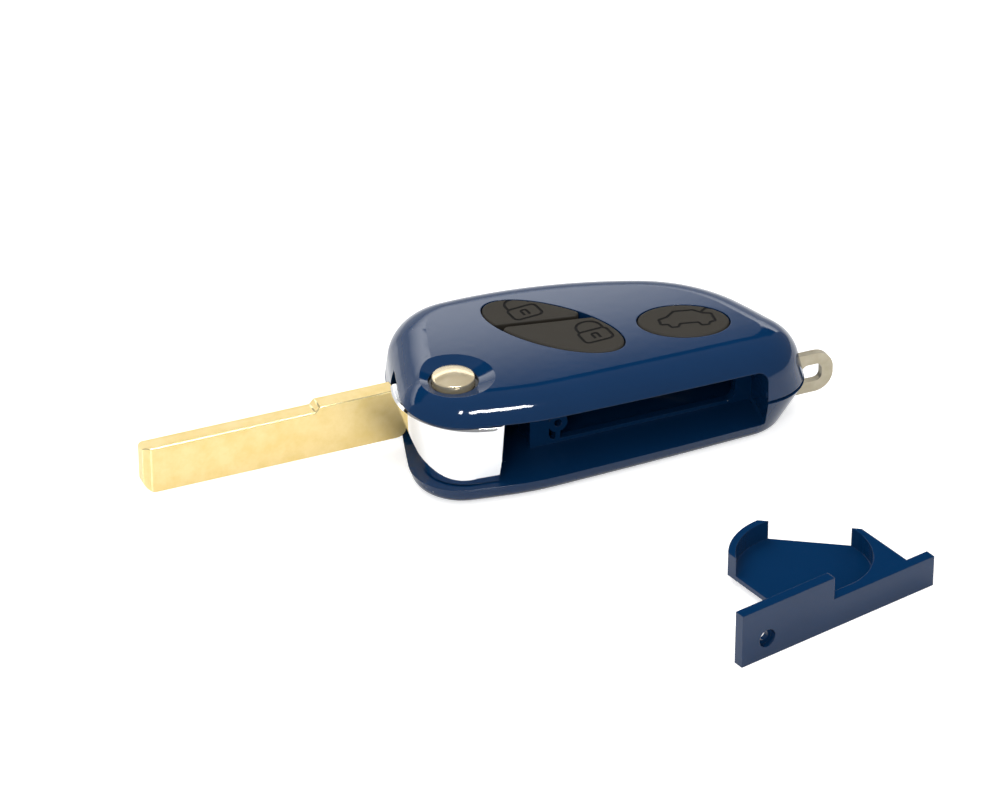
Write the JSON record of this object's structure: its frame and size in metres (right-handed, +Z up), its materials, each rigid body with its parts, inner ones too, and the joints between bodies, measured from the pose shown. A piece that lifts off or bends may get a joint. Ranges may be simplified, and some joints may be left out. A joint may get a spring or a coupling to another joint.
{
  "type": "flip key remote shell",
  "caption": "Folding car key remote case with a swing-out blank blade on a sprung release, rubber keys, a key ring loop and a battery tray taken out of its side.",
  "frame": {"origin": "on the table under the blade's pivot axis, at the level of the flat underside", "axes": "+X towards the key ring end, +Y towards the back edge, +Z up out of the keypad face"},
  "size_m": [0.1075, 0.0907, 0.0171],
  "materials": {
    "case_plastic": "gloss navy moulding",
    "inner_plastic": "matt black moulding",
    "collar_plastic": "matt black ring",
    "cover_chrome": "bright chrome plating",
    "blade_brass": "satin brass",
    "champagne_metal": "champagne nickel plating",
    "spring_steel": "drawn steel",
    "key_rubber": "matt silicone rubber",
    "contact_carbon": "carbon filled rubber pill"
  },
  "bodies": {
    "case": {"upper_shell": "case_plastic", "lower_shell": "case_plastic", "button_collar": "collar_plastic", "keypad_web": "key_rubber", "key_ring_loop": "champagne_metal", "battery_tray": "case_plastic", "flip_spring": "spring_steel"},
    "carrier": {"hub_core": "inner_plastic", "hub_cover": "cover_chrome", "key_blade": "blade_brass", "blade_pin": "spring_steel"},
    "release": {"release_button": "champagne_metal", "lock_cam": "inner_plastic"},
    "unlock_key": {"unlock_button": "key_rubber", "unlock_contact": "contact_carbon"},
    "lock_key": {"lock_button": "key_rubber", "lock_contact": "contact_carbon"},
    "boot_key": {"boot_button": "key_rubber", "boot_contact": "contact_carbon"}
  },
  "joints": [
    {"name": "blade_flip", "type": "hinge", "parent": "case", "child": "carrier", "pos_m": [0, 0, 0.0076], "axis": [0, 0, 1], "range_deg": [0, 180]},
    {"name": "release_press", "type": "slide", "parent": "case", "child": "release", "axis": [0, 0, -1], "range_m": [0, 0.0014], "stiffness_N_per_m": 1500, "springref_m": -0.001, "deforming": ["flip_spring"]},
    {"name": "unlock_press", "type": "slide", "parent": "case", "child": "unlock_key", "axis": [0, 0, -1], "range_m": [0, 0.0006], "stiffness_N_per_m": 1500, "springref_m": -0.0005},
    {"name": "lock_press", "type": "slide", "parent": "case", "child": "lock_key", "axis": [0, 0, -1], "range_m": [0, 0.0006], "stiffness_N_per_m": 1500, "springref_m": -0.0005},
    {"name": "boot_press", "type": "slide", "parent": "case", "child": "boot_key", "axis": [0, 0, -1], "range_m": [0, 0.0006], "stiffness_N_per_m": 1500, "springref_m": -0.0005}
  ]
}
